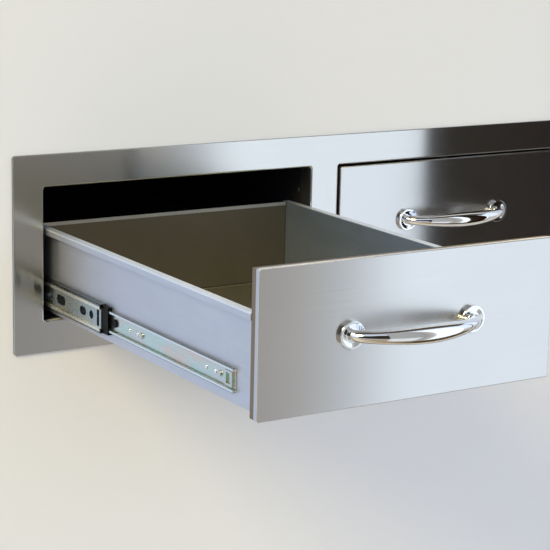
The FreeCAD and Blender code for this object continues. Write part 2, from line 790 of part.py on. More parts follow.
def make_mid_member(drawer, hand):
    """The middle member: shouldered flanges with a web set back between them."""
    half = "mid_height / 2"
    inside = f"{half} - slide_sheet"
    step = f"{half} - mid_shoulder"
    behind = f"{MID_SEAT} + slide_sheet"
    above = f"{step} + slide_sheet"
    upper = [(MID_WEB, step), (MID_SEAT, step), (MID_SEAT, half), ("mid_reach", half), ("mid_reach", inside)]
    upper += [(behind, inside), (behind, above), (f"{MID_WEB} + slide_sheet", above)]
    body = on_slide(channel(hand, upper, "slide_length", [2]), drawer, "mid_share")
    node(f"{drawer}_drawer_{hand}_slide_middle", cut(body, mid_openings(drawer, hand)))


def make_lug(drawer, hand):
    """The open lug near the inner member's front end."""

    def block(inset):
        ends = (f"lug_setback + {inset}", f"lug_setback + lug_length - {inset}")
        along = tuple(slide_y(drawer, "1", end) for end in ends)
        across = slide_span(drawer, hand, f"{INNER_SEAT} - lug_rise", INNER_SEAT)
        return box(across, along, slide_levels(f"lug_height - 2 * {inset}"))

    return cut(block("0"), [block("lug_wall")])


def make_inner_member(drawer, hand):
    """The member on the tray: a lipped channel that faces the plate, with a lug and the lever's pin."""
    half = "inner_height / 2"
    lip = f"{half} - inner_lip"
    behind = f"{INNER_RIM} + slide_sheet"
    upper = [("slide_thickness", half), (INNER_RIM, half), (INNER_RIM, lip), (behind, lip)]
    upper += [(behind, f"{half} - slide_sheet"), (INNER_SEAT, f"{half} - slide_sheet")]
    body = on_slide(channel(hand, upper, "slide_length", [0]), drawer, "1")
    away = OPPOSITE[inwards(hand)]
    along = slide_y(drawer, "1", LEVER_STATION)
    reach = "lever_thickness + 2 * cage_room"
    pin = rod(away, "lever_pin / 2", reach, slide_x(drawer, hand, INNER_SEAT), along, SLIDE_LEVEL)
    seat = slide_x(drawer, hand, f"{INNER_SEAT} - ({reach})")
    head = rod(away, "lever_head / 2", "pin_head", seat, along, SLIDE_LEVEL)
    start = slide_x(drawer, hand, f"{INNER_SEAT} - slide_sheet")
    sizes = {"0": "screw_diameter", "spare_hole_near": "spare_hole", "spare_hole_far": "spare_hole"}
    holes = []
    for station in slide_stations():
        for offset, size in sizes.items():
            spot = (start, slide_y(drawer, "1", f"{station} + {offset}"), SLIDE_LEVEL)
            holes.append(rod(inwards(hand), f"{size} / 2", "2 * slide_sheet", *spot))
    pieces = [body, pin, head, make_lug(drawer, hand)]
    node(f"{drawer}_drawer_{hand}_slide_inner", cut(fuse(pieces), holes))


def tray_screws(drawer, hand):
    """The screws that hold an inner member to the tray's side."""
    seat = slide_x(drawer, hand, INNER_SEAT)
    away = OPPOSITE[inwards(hand)]
    length = "slide_sheet + tray_sheet"
    return [
        screw(away, "pan_head", length, seat, slide_y(drawer, "1", station), SLIDE_LEVEL)
        for station in slide_stations()
    ]


def make_lever(drawer, hand):
    """The release lever, which turns on the inner member's pin."""
    face = f"{INNER_SEAT} - cage_room"
    away = OPPOSITE[inwards(hand)]
    across = slide_x(drawer, hand, face)
    eye_y = slide_y(drawer, "1", LEVER_STATION)
    knob_y = slide_y(drawer, "1", f"{LEVER_STATION} - lever_reach")
    eye = rod(away, "lever_knob / 2", "lever_thickness", across, eye_y, SLIDE_LEVEL)
    knob = rod(away, "lever_knob / 2", "lever_thickness", across, knob_y, SLIDE_LEVEL)
    width = slide_span(drawer, hand, f"{face} - lever_thickness", face)
    arm = box(width, (knob_y, eye_y), slide_levels("lever_height"))
    hole = rod(away, "lever_pin / 2 + lever_room", "lever_thickness", across, eye_y, SLIDE_LEVEL)
    node(f"{drawer}_drawer_{hand}_release_lever", cut(fuse([eye, knob, arm]), [hole]))


def make_stop(drawer, hand):
    """The plastic end stop that is pushed into the middle member's front end."""
    seat = f"{MID_WEB} + slide_sheet"
    half = "mid_height / 2 - slide_sheet"
    inside = "inner_height / 2 + stop_room"
    upper = [(seat, half), ("mid_reach", half), ("mid_reach", inside), (f"{seat} + stop_sheet", inside)]
    body = channel(hand, upper, "stop_front + stop_grip", [])
    return on_slide(body, drawer, "mid_share", "-stop_front")


def make_cage(drawer, hand, which, count):
    """A ball cage between two members, and its balls."""
    seat = {"outer": OUTER_CAGE_SEAT, "inner": INNER_CAGE_SEAT}[which]
    line = {"outer": OUTER_BALL_LINE, "inner": INNER_BALL_LINE}[which]
    radius = {"outer": OUTER_BALL_RADIUS, "inner": INNER_BALL_RADIUS}[which]
    depth = {"outer": OUTER_BALL_DEPTH, "inner": INNER_BALL_DEPTH}[which]
    share = {"outer": "mid_share / 2", "inner": "(1 + mid_share) / 2"}[which]
    overlap = {"outer": OUTER_OVERLAP, "inner": INNER_OVERLAP}[which]
    length = f"({overlap} - 2 * {which}_cage_slack)"
    pitch = f"({length} - 2 * {which}_ball_margin) / {count - 1}"
    upper = c_section(seat, f"{which}_cage_reach", f"({line} + cage_sheet / 2)", "cage_sheet")
    body = channel(hand, upper, length, [])
    on_slide(body, drawer, share, f"(slide_length - {length}) / 2")
    across = slide_x(drawer, hand, depth)
    holes = []
    balls = []
    for number in range(count):
        station = f"slide_length / 2 + {number - (count - 1) / 2} * {pitch}"
        along = slide_y(drawer, share, station)
        height = f"2 * ({line} + cage_sheet)"
        spot = (across, along, f"{SLIDE_LEVEL} - {height} / 2")
        holes.append(rod("+z", f"{radius} + cage_room", height, *spot))
        for side in (-1, 1):
            ball = document.addObject("Part::Sphere", "ball")
            bind(ball, Radius=radius)
            balls.append(place(ball, across, along, f"{SLIDE_LEVEL} + {side} * {line}"))
    node(f"{drawer}_drawer_{hand}_slide_{which}_cage", cut(body, holes))
    return balls


def make_slides(drawer):
    """Both slides of a drawer; pieces of a kind that are small stay together in one node."""
    kinds = {"outer": BALLS_IN_OUTER_CAGE, "inner": BALLS_IN_INNER_CAGE}
    balls = {which: [] for which in kinds}
    stops = []
    screws = []
    for hand in HANDS:
        make_mid_member(drawer, hand)
        make_inner_member(drawer, hand)
        make_lever(drawer, hand)
        stops.append(make_stop(drawer, hand))
        screws += tray_screws(drawer, hand)
        for which, count in kinds.items():
            balls[which] += make_cage(drawer, hand, which, count)
    node(f"{drawer}_drawer_slide_stops", group(stops))
    node(f"{drawer}_drawer_slide_screws", group(screws))
    for which in kinds:
        node(f"{drawer}_drawer_{which}_balls", group(balls[which]))


def make_unit():
    """The whole unit: the fixed housing, then each drawer."""
    places = rivet_places()
    rivet_holes = [rivet_hole(*spot) for spot in places]
    make_face_frame(rivet_holes)
    make_housing_panels(rivet_holes)
    fixing_screws = []
    for drawer in DRAWERS:
        screw_holes = {hand: plate_screw_holes(drawer, hand) for hand in HANDS}
        make_slide_plates(drawer, [*rivet_holes, *screw_holes["left"], *screw_holes["right"]])
        for hand in HANDS:
            make_outer_member(drawer, hand, screw_holes[hand])
            fixing_screws += plate_screws(drawer, hand)
        make_front(drawer)
        make_tray(drawer)
        make_handle(drawer)
        make_slides(drawer)
    node("housing_rivets", group([rivet(*spot) for spot in places]))
    node("slide_plate_screws", group(fixing_screws))


def write_parts():
    """Checks every object and writes each named piece."""
    document.recompute()
    failed = [thing.Label for thing in document.Objects if {"Invalid", "Error"} & set(thing.State)]
    failed += [thing.Label for thing in nodes if thing.Shape.isNull() or not thing.Shape.isValid()]
    if failed:
        raise RuntimeError(f"these pieces failed: {sorted(set(failed))}")
    os.makedirs("parts", exist_ok=True)
    for thing in nodes:
        thing.Shape.exportStep(f"parts/{thing.Label}.step")
        print(f"{thing.Label}: {len(thing.Shape.Solids)} solids, {thing.Shape.Volume / 1000:.2f} cm3")


make_unit()
write_parts()
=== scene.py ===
import json
import math

import bmesh
import bpy
from mathutils import Euler, Matrix, Vector


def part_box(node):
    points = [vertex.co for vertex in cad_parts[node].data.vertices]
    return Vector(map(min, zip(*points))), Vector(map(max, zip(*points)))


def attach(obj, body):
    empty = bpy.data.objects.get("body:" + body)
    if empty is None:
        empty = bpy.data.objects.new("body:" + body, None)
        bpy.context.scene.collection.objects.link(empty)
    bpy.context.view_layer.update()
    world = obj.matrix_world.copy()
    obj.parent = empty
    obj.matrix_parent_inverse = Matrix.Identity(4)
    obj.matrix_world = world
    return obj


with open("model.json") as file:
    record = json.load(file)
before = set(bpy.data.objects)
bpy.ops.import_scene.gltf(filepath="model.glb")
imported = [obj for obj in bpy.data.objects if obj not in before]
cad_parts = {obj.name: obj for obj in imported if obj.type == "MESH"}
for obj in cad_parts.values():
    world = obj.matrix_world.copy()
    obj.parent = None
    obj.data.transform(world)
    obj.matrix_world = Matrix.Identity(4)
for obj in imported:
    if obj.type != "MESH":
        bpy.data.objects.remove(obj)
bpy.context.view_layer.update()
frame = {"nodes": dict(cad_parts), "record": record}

# Built-in double drawer unit, left drawer pulled out, in a pale wall.
# The part's frame in metres: +X right, +Y into the wall, +Z up.
scene = bpy.context.scene
nodes = frame["nodes"]
record = frame["record"]
SLOTS = {entry["slot"]: (*entry["base_color"][:3], 1) for entry in record["materials"]}

# Camera at the photograph's viewing angle
CAMERA_PLACE = (-1.36169, -2.05335, 0.47655)
CAMERA_YAW = math.radians(32.074)
CAMERA_PITCH = math.radians(12.486)
CAMERA_ROLL = math.radians(1.295)
CAMERA_FOCAL_PX = 1827.73
CAMERA_NEAR = 0.05
CAMERA_FAR = 60
IMAGE_PX = 550
SENSOR_MM = 36

# Wall with its cut-out, and floor
WALL_COLOUR = (0.815, 0.81, 0.79, 1)
WALL_PLACE = 0.0004
WALL_HALF_WIDTH = 3.0
WALL_TOP = 2.4
CUTOUT_HALF = (0.457, 0.124)
FLOOR_COLOUR = (0.64, 0.60, 0.54, 1)
FLOOR_LEVEL = -0.95
FLOOR_FRONT = -1.2
FLOOR_BACK = 2.6

# Noise of the finishes: scale, detail, roughness, and stretch along X, Y and Z
EVEN = (1, 1, 1)
NOISES = {
    "brush_fine": (1.0, 3.0, 0.6, (6, 1500, 1500)),
    "brush_broad": (1.0, 2.0, 0.5, (2.5, 260, 260)),
    "brush_cloud": (7.0, 3.0, 0.55, EVEN),
    "satin_fine": (1.0, 2.0, 0.5, (900, 14, 900)),
    "satin_cloud": (9.0, 4.0, 0.6, EVEN),
    "satin_blotch": (26.0, 3.0, 0.55, EVEN),
    "chrome_wipe": (60.0, 4.0, 0.6, (1, 1, 2.5)),
    "chrome_fine": (700.0, 2.0, 0.5, EVEN),
    "zinc_drift": (1.0, 3.0, 0.55, (40, 16, 60)),
    "zinc_lines": (1.0, 2.0, 0.5, (900, 12, 900)),
    "zinc_spangle": (240.0, 3.0, 0.6, EVEN),
    "mould_grain": (1400.0, 2.0, 0.6, EVEN),
    "mould_cloud": (90.0, 2.0, 0.5, EVEN),
    "coat_peel": (420.0, 2.0, 0.45, EVEN),
    "coat_dust": (14.0, 4.0, 0.65, EVEN),
}
# Values between which most of a noise lies
NOISE_LOW, NOISE_HIGH = 0.3, 0.7

# Relief of the finishes: strength, and depth in metres
RELIEFS = {
    "brush": (0.15, 0.00001), "satin": (0.2, 0.00003), "chrome": (0.04, 0.00002),
    "zinc": (0.25, 0.00004), "mould": (0.35, 0.00005), "coat": (0.3, 0.0001),
}

# Brushed sheet: gloss turned across the grain, the least share of Y in the normal of a brushed face, and the
# unbrushed folded edges: rough, darker on the frame as painted shade, lighter on the front as painted
# highlight
QUARTER_TURN = 0.25
FACING_SHARE = 0.5
FRAME_EDGE_SHADE = (0.30, 0.31, 0.33, 1)
FRONT_EDGE_HIGHLIGHT = (0.86, 0.85, 0.85, 1)
EDGE_ROUGH = (0.8, 0.8, 0.8, 1)

# Tray: the middle of a bay, where its outside ends and its inside starts, the bands of painted shade above
# the floor and of painted light on the hem, and its wear and roughness
TRAY_FLANGE = 0.010
TRAY_SHEET = 0.001
TRAY_BEND = 0.0017
TRAY_JOINT = 0.002
TRAY_HEM_HEIGHT = 0.0045
tray_low, tray_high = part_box("left_tray")
BAY_CENTRE = -(tray_low[0] + tray_high[0]) / 2
TRAY_INNER_HALF = (tray_high[0] - tray_low[0]) / 2 - TRAY_FLANGE - TRAY_SHEET / 2
TRAY_FLOOR = tray_low[2] + TRAY_SHEET / 2
TRAY_RIM = tray_high[2] - TRAY_BEND
TRAY_HEM = tray_high[2] - TRAY_HEM_HEIGHT
UNWORN = (1, 1, 1, 1)
STREAKED = (0.94, 0.94, 0.94, 1)
WORN = (0.88, 0.885, 0.89, 1)
TRAY_OUTSIDE_ROUGH = (0.44, 0.54)
TRAY_INSIDE_ROUGH = (0.30, 0.38)
TRAY_RIM_ROUGH = (0.52, 0.64)

# Slides: their middle level, and how far from it the painted highlight on the inner and middle members' rims
# starts and where painted shade takes over
slide_low, slide_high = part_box("left_drawer_left_slide_inner")
SLIDE_LEVEL = (slide_low[2] + slide_high[2]) / 2
SLIDE_SHEET = 0.0012
INNER_PAINTED_BANDS = (0.0111, 0.0127)
MID_PAINTED_BANDS = (0.0105, 0.0152)

# Button rivets: places along a slide from its front end, and a profile of radius and height
BUTTON_STATIONS = (0.043, 0.063, 0.223, 0.243, 0.403, 0.423)
BUTTON_PROFILE = (
    (0.0030, -0.0001), (0.0030, 0.0003), (0.0027, 0.0007),
    (0.0020, 0.0011), (0.0011, 0.0013), (0.0004, 0.00135),
)
BUTTON_SIDES = 16

# Light: the surround's colours from below to above, and the key lamp
SURROUND = [
    (0.00, (0.30, 0.25, 0.19, 1)), (0.32, (0.46, 0.40, 0.32, 1)), (0.46, (0.64, 0.64, 0.64, 1)),
    (0.52, (0.92, 1.05, 1.33, 1)), (0.74, (0.92, 1.05, 1.33, 1)), (0.90, (0.62, 0.68, 0.79, 1)),
    (1.00, (0.46, 0.47, 0.50, 1)),
]
KEY_PLACE = (-5.78, -2.82, 4.32)
KEY_AIM = (0.0, -0.1, -0.1)
KEY_SIZE = 2.7
KEY_WATTS = 385
KEY_COLOUR = (1.0, 0.82, 0.33)

# Cards that only the metal's reflections show: two opposite corners, and colours along X
CARDS = {
    "window_card": ((-0.9, -3.45, -3.4), (8.0, -3.45, 7.0), [
        (-0.9, (0.43, 0.44, 0.44, 1)), (0.63, (0.41, 0.42, 0.42, 1)), (1.0, (0.37, 0.37, 0.37, 1)),
        (1.23, (0.42, 0.42, 0.42, 1)), (1.41, (0.50, 0.47, 0.44, 1)), (1.59, (0.55, 0.54, 0.53, 1)),
        (1.754, (0.70, 0.77, 0.85, 1)), (1.827, (1.04, 1.15, 1.28, 1)), (1.92, (1.25, 1.39, 1.54, 1)),
        (2.06, (1.17, 1.30, 1.44, 1)), (8.0, (1.16, 1.29, 1.43, 1)),
    ]),
    "low_window_card": ((-0.9, -3.44, -3.4), (0.9, -3.44, -0.55), [
        (-0.9, (0.82, 0.86, 0.89, 1)), (0.6, (0.82, 0.86, 0.89, 1)), (0.9, (0.40, 0.40, 0.40, 1)),
    ]),
    "sky_card": ((-2.6, -0.02, -0.9), (-0.47, -0.02, 1.6), [
        (-2.6, (0.64, 0.75, 0.94, 1)), (-0.47, (0.64, 0.75, 0.94, 1)),
    ]),
    "low_card": ((-0.7, -1.2, -0.9), (2.2, -0.58, -0.9), [
        (-0.7, (0.62, 0.50, 0.34, 1)), (-0.25, (0.42, 0.32, 0.20, 1)), (0.1, (0.10, 0.07, 0.04, 1)),
    ]),
    "high_card": ((-2.0, -1.05, 1.9), (3.0, -0.03, 1.9), [
        (-2.0, (0.10, 0.085, 0.07, 1)), (3.0, (0.10, 0.085, 0.07, 1)),
    ]),
    "dark_flag": ((0.612, -0.6, -0.9), (1.4, -0.6, 2.4), [
        (0.612, (0.055, 0.055, 0.06, 1)), (0.68, (0.024, 0.018, 0.010, 1)), (0.995, (0.012, 0.003, 0.0, 1)),
    ]),
    "dark_strip": ((-7.0, -3.4, -0.6), (-0.9, -3.4, 2.6), [
        (-7.0, (0.03, 0.027, 0.02, 1)), (-0.9, (0.03, 0.027, 0.02, 1)),
    ]),
}


class Tree:
    """Short-hand for building the node tree of a material or a world, empty at first."""

    def __init__(self, owner):
        owner.use_nodes = True
        self.tree = owner.node_tree
        self.tree.nodes.clear()

    def put(self, node, sockets):
        """Sets a node's sockets by name or number, or links them to other nodes' sockets."""
        for socket, source in sockets.items():
            if isinstance(source, bpy.types.NodeSocket):
                self.tree.links.new(source, node.inputs[socket])
            else:
                node.inputs[socket].default_value = source

    def add(self, kind, sockets=None, **settings):
        """A node with its settings, and its sockets set or linked."""
        made = self.tree.nodes.new(kind)
        for name, setting in settings.items():
            setattr(made, name, setting)
        self.put(made, sockets or {})
        return made

    def ramp(self, factor, stops):
        """A colour ramp over a factor."""
        made = self.add("ShaderNodeValToRGB", {"Fac": factor})
        elements = made.color_ramp.elements
        while len(elements) < len(stops):
            elements.new(0.5)
        for element, (place, colour) in zip(elements, stops):
            element.position = place
            element.color = colour
        return made.outputs["Color"]

    def noise(self, place, name):
        """One of the noises, over coordinates that are stretched first."""
        scale, detail, rough, stretch = NOISES[name]
        mapped = self.add("ShaderNodeMapping", {"Vector": place, "Scale": stretch})
        sockets = {"Vector": mapped.outputs["Vector"], "Scale": scale, "Detail": detail, "Roughness": rough}
        return self.add("ShaderNodeTexNoise", sockets).outputs["Fac"]

    def share(self, value, low, high, start=0.0, end=1.0):
        """How far a value lies between two, counted from start to end."""
        sockets = {"Value": value, "From Min": low, "From Max": high, "To Min": start, "To Max": end}
        return self.add("ShaderNodeMapRange", sockets).outputs["Result"]

    def spread(self, noise, low, high):
        """Noise, spread between two values."""
        return self.share(noise, NOISE_LOW, NOISE_HIGH, low, high)

    def mix(self, factor, low, high, blend="MIX"):
        """A colour between two, or one laid on another. Numbers pick the node's sockets for colours."""
        sockets = {0: factor, 6: low, 7: high}
        return self.add("ShaderNodeMix", sockets, data_type="RGBA", blend_type=blend).outputs[2]

    def math(self, operation, first, second=0.0):
        """The result of one sum or comparison."""
        return self.add("ShaderNodeMath", {0: first, 1: second}, operation=operation).outputs["Value"]

    def above(self, value, limit):
        """A mask of what is above a limit."""
        return self.math("GREATER_THAN", value, limit)

    def below(self, value, limit):
        """A mask of what is below a limit."""
        return self.math("LESS_THAN", value, limit)

    def both(self, first, second):
        """What is in both of two masks."""
        return self.math("MULTIPLY", first, second)

    def apart(self, value, middle):
        """How far a value is from a middle one, to either side."""
        return self.math("ABSOLUTE", self.math("SUBTRACT", value, middle))

    def axes(self, vector):
        """The three components of a vector."""
        return self.add("ShaderNodeSeparateXYZ", {0: vector}).outputs

    def facing(self):
        """The share of Y in the surface's normal, to the front or the back."""
        return self.math("ABSOLUTE", self.axes(self.add("ShaderNodeNewGeometry").outputs["Normal"])["Y"])

    def bump(self, height, name):
        """A normal from a height, with one of the reliefs."""
        strength, depth = RELIEFS[name]
        sockets = {"Height": height, "Strength": strength, "Distance": depth}
        return self.add("ShaderNodeBump", sockets).outputs["Normal"]


def new_material(name):
    """A material with only a principled shader and an output, its tree, its shader and its coordinates."""
    material = bpy.data.materials.new(name)
    tree = Tree(material)
    shader = tree.add("ShaderNodeBsdfPrincipled")
    tree.add("ShaderNodeOutputMaterial", {"Surface": shader.outputs["BSDF"]})
    place = tree.add("ShaderNodeTexCoord").outputs["Object"]
    return material, tree, shader, place


def shade(base, factor):
    """A colour made lighter or darker."""
    return tuple(min(1.0, channel * factor) for channel in base[:3]) + (1,)


def brushed_steel(name, base, rough, anisotropy, edge):
    """Sheet brushed along X: fine streaks, broad faint smudges, gloss drawn out across the grain, and rough
    folded edges in the tone given for them, painted highlight on the front and painted shade on the frame and
    backer.
    """
    material, tree, shader, place = new_material(name)
    fine = tree.noise(place, "brush_fine")
    cloud = tree.noise(place, "brush_cloud")
    streaks = tree.mix(0.12, fine, tree.noise(place, "brush_broad"))
    colour = tree.mix(tree.spread(streaks, 0.0, 1.0), shade(base, 0.975), shade(base, 1.02))
    colour = tree.mix(tree.spread(cloud, 0.0, 0.2), colour, shade(base, 0.86))
    face_rough = tree.spread(tree.mix(0.3, streaks, cloud), rough * 0.94, rough * 1.06)
    # The folded edges: faces turned away from front and back, which take the painted edge highlight or shade
    # and a rough finish
    folded = tree.below(tree.facing(), FACING_SHARE)
    tangent = tree.add("ShaderNodeTangent", direction_type="RADIAL", axis="Z")
    tree.put(shader, {
        "Metallic": 1.0,
        "Anisotropic": anisotropy,
        "Anisotropic Rotation": QUARTER_TURN,
        "Base Color": tree.mix(folded, colour, edge),
        "Roughness": tree.mix(folded, face_rough, EDGE_ROUGH),
        "Normal": tree.bump(fine, "brush"),
        "Tangent": tangent.outputs["Tangent"],
    })
    return material


def satin_steel(name, base, rough, tint):
    """Satin sheet: even fine grain, and cloudy handling marks."""
    material, tree, shader, place = new_material(name)
    fine = tree.noise(place, "satin_fine")
    blotch = tree.noise(place, "satin_blotch")
    colour = tree.mix(tree.spread(fine, 0.0, 1.0), shade(base, 0.96), shade(base, 1.04))
    tree.put(shader, {
        "Metallic": 1.0,
        "Base Color": tree.mix(tree.spread(tree.noise(place, "satin_cloud"), 0.0, 0.5), colour, tint),
        "Roughness": tree.spread(tree.mix(0.5, fine, blotch), rough * 0.85, rough * 1.15),
        "Normal": tree.bump(tree.mix(0.4, fine, blotch), "satin"),
    })
    return material


def tray_steel(name, outside, wall, inside, floor, joint, hem_painted_light, painted_rim_highlight):
    """Tray sheet: satin outside; inside, painted light and shade: cool lit side walls, a dark shaded back, a
    warm lit floor, painted shade along the floor joint and back corners, a lighter hem and painted highlights
    on the rims.
    """
    material, tree, shader, place = new_material(name)
    axes = tree.axes(place)
    level = axes["Z"]
    reach = tree.apart(tree.math("ABSOLUTE", axes["X"]), BAY_CENTRE)
    over_floor = tree.above(level, TRAY_FLOOR)
    walled = tree.both(tree.below(reach, TRAY_INNER_HALF), over_floor)
    within = tree.both(tree.below(reach, TRAY_INNER_HALF - TRAY_BEND), over_floor)
    # Back corners of the side walls, darkened as painted shade
    cornered = tree.both(walled, tree.above(tree.facing(), FACING_SHARE))
    floored = tree.both(within, tree.below(level, TRAY_FLOOR + TRAY_SHEET))
    # A band just above the floor, darkened as painted shade
    by_floor = tree.below(level, TRAY_FLOOR + TRAY_SHEET + TRAY_JOINT)
    jointed = tree.both(within, tree.math("SUBTRACT", by_floor, floored))
    hemmed = tree.both(within, tree.above(level, TRAY_HEM))
    rimmed = tree.both(tree.above(reach, TRAY_INNER_HALF), tree.above(level, TRAY_RIM))
    # Side walls, back, floor and hem take painted light and shade over the outside's tone, and the rims a
    # painted highlight
    colour = outside
    for mask, shown in (
        (walled, wall), (cornered, joint), (within, inside), (jointed, joint),
        (floored, floor), (hemmed, hem_painted_light), (rimmed, painted_rim_highlight),
    ):
        colour = tree.mix(mask, colour, shown)
    fine = tree.noise(place, "satin_fine")
    streak = tree.mix(tree.spread(fine, 0.0, 1.0), STREAKED, UNWORN)
    wear = tree.mix(tree.spread(tree.noise(place, "satin_cloud"), 0.0, 0.6), UNWORN, WORN)
    for layer in (streak, wear):
        colour = tree.mix(1.0, colour, layer, "MULTIPLY")
    grain = tree.mix(0.5, fine, tree.noise(place, "satin_blotch"))
    rough = tree.spread(grain, *TRAY_OUTSIDE_ROUGH)
    rough = tree.mix(within, rough, tree.spread(grain, *TRAY_INSIDE_ROUGH))
    rough = tree.mix(rimmed, rough, tree.spread(grain, *TRAY_RIM_ROUGH))
    tree.put(shader, {
        "Metallic": 1.0, "Base Color": colour, "Roughness": rough, "Normal": tree.bump(grain, "satin"),
    })
    return material


def chrome(name, base, rough):
    """Polished plating with the faintest wipe marks."""
    material, tree, shader, place = new_material(name)
    wipe = tree.noise(place, "chrome_wipe")
    tree.put(shader, {
        "Metallic": 1.0,
        "Base Color": tree.mix(tree.spread(wipe, 0.0, 1.0), shade(base, 0.97), shade(base, 1.02)),
        "Roughness": tree.spread(wipe, rough * 0.6, rough * 1.5),
        "Normal": tree.bump(tree.noise(place, "chrome_fine"), "chrome"),
    })
    return material


def zinc(name, base, warm, cool, rough, painted_bands=None, painted_rim_highlight=None):
    """Passivated zinc: drifting tints, rolling lines, and, where bands are given, rims lighter as painted
    highlight with their outsides darker as painted shade.
    """
    material, tree, shader, place = new_material(name)
    lines = tree.noise(place, "zinc_lines")
    tints = tree.ramp(tree.noise(place, "zinc_drift"), [(0.32, cool), (0.5, base), (0.68, warm)])
    colour = tree.mix(tree.spread(lines, 0.0, 0.35), tints, shade(base, 0.78))
    if painted_bands:
        height = tree.apart(tree.axes(place)["Z"], SLIDE_LEVEL)
        # Past the first height the rims' painted highlight, past the second painted shade
        for limit, shown in zip(painted_bands, (painted_rim_highlight, shade(base, 0.4))):
            colour = tree.mix(tree.above(height, limit), colour, shown)
    grain = tree.mix(0.5, tree.noise(place, "zinc_spangle"), lines)
    tree.put(shader, {
        "Metallic": 1.0,
        "Base Color": colour,
        "Roughness": tree.spread(grain, rough * 0.75, rough * 1.25),
        "Normal": tree.bump(grain, "zinc"),
    })
    return material


def moulded(name, base, rough):
    """Moulded plastic with a fine spark-eroded grain."""
    material, tree, shader, place = new_material(name)
    grain = tree.noise(place, "mould_grain")
    cloud = tree.spread(tree.noise(place, "mould_cloud"), 0.0, 1.0)
    tree.put(shader, {
        "Specular IOR Level": 0.1,
        "Base Color": tree.mix(cloud, shade(base, 0.8), shade(base, 1.3)),
        "Roughness": tree.spread(grain, rough * 0.85, rough * 1.15),
        "Normal": tree.bump(grain, "mould"),
    })
    return material


def powder_coat(name, base, rough):
    """Powder coat with its orange peel and a little dust."""
    material, tree, shader, place = new_material(name)
    dust = tree.noise(place, "coat_dust")
    tree.put(shader, {
        "Specular IOR Level": 0.25,
        "Base Color": tree.mix(tree.spread(dust, 0.0, 0.5), base, shade(base, 1.7)),
        "Roughness": tree.spread(dust, rough * 0.85, rough * 1.15),
        "Normal": tree.bump(tree.noise(place, "coat_peel"), "coat"),
    })
    return material


# Finishes: the function that makes each, its main colour, and the rest. Tones that aren't a slot's follow the
# photograph
FINISHES = {
    "frame_steel": (brushed_steel, SLOTS["frame_steel"], {
        "rough": 0.14, "anisotropy": 0.95, "edge": FRAME_EDGE_SHADE,
    }),
    "front_steel": (brushed_steel, SLOTS["front_steel"], {
        "rough": 0.17, "anisotropy": 1.0, "edge": FRONT_EDGE_HIGHLIGHT,
    }),
    # Backer: its face lighter than its slot's colour as painted light, its folded edges darker as painted
    # shade
    "backer_steel": (brushed_steel, (0.82, 0.79, 0.74, 1), {
        "rough": 0.44, "anisotropy": 0.3, "edge": shade(SLOTS["backer_steel"], 0.7),
    }),
    # Tray: side walls cool as painted light, back dark as painted shade, floor warm as painted light, floor
    # joint and back corners darker as painted shade, hem lighter as painted light, rims as painted highlight
    "tray_steel": (tray_steel, (0.65, 0.66, 0.71, 1), {
        "wall": (0.43, 0.54, 0.73, 1), "inside": (0.22, 0.18, 0.13, 1), "floor": (0.58, 0.52, 0.36, 1),
        "joint": (0.12, 0.10, 0.07, 1), "hem_painted_light": (0.60, 0.57, 0.53, 1), "painted_rim_highlight": (0.84, 0.89, 0.96, 1),
    }),
    "handle_chrome": (chrome, SLOTS["handle_chrome"], {"rough": 0.05}),
    "rosette_chrome": (chrome, SLOTS["rosette_chrome"], {"rough": 0.05}),
    "slide_zinc": (zinc, SLOTS["slide_zinc"], {
        "warm": (0.62, 0.60, 0.47, 1), "cool": (0.55, 0.60, 0.64, 1), "rough": 0.30,
    }),
    # Inner members: lighter than their slot's zinc as painted light, rims as painted highlight, outsides as
    # painted shade
    "inner_zinc": (zinc, shade(SLOTS["slide_zinc"], 1.14), {
        "warm": (0.84, 0.63, 0.48, 1), "cool": (0.58, 0.77, 0.68, 1), "rough": 0.30,
        "painted_bands": INNER_PAINTED_BANDS, "painted_rim_highlight": (0.86, 0.88, 0.86, 1),
    }),
    # Middle members: darker than their slot's zinc as painted shade, rims as painted highlight, outsides as
    # painted shade
    "mid_zinc": (zinc, (0.47, 0.53, 0.54, 1), {
        "warm": (0.55, 0.56, 0.46, 1), "cool": (0.41, 0.52, 0.58, 1), "rough": 0.28,
        "painted_bands": MID_PAINTED_BANDS, "painted_rim_highlight": (0.80, 0.80, 0.70, 1),
    }),
    "cage_zinc": (zinc, SLOTS["cage_zinc"], {
        "warm": (0.58, 0.55, 0.42, 1), "cool": (0.5, 0.54, 0.56, 1), "rough": 0.34,
    }),
    # Cages seen through the middle members' holes: near black as painted shade
    "greased_zinc": (zinc, (0.010, 0.014, 0.022, 1), {
        "warm": (0.012, 0.013, 0.015, 1), "cool": (0.009, 0.014, 0.026, 1), "rough": 0.42,
    }),
    "ball_steel": (chrome, SLOTS["ball_steel"], {"rough": 0.08}),
    "fastener_steel": (satin_steel, SLOTS["fastener_steel"], {"rough": 0.26, "tint": (0.60, 0.60, 0.58, 1)}),
    "button_steel": (chrome, (0.88, 0.89, 0.90, 1), {"rough": 0.16}),
    "rivet_steel": (powder_coat, SLOTS["rivet_steel"], {"rough": 0.45}),
    "stop_plastic": (moulded, shade(SLOTS["stop_plastic"], 0.12), {"rough": 0.42}),
    "lever_plastic": (moulded, shade(SLOTS["lever_plastic"], 0.12), {"rough": 0.42}),
    # Housing darkened to half its slot's colour as painted shade in the opening
    "housing_black": (powder_coat, shade(SLOTS["housing_black"], 0.5), {"rough": 0.55}),
}
MATERIALS = {name: maker(name, colour, **rest) for name, (maker, colour, rest) in FINISHES.items()}

# Slide pieces whose zinc differs from their slot's, by the end of their names: inner members lighter as
# painted light, middle members darker as painted shade, cages near black as painted shade
SPECIAL_FINISHES = {
    "slide_inner": "inner_zinc", "slide_middle": "mid_zinc", "slide_inner_cage": "greased_zinc",
}


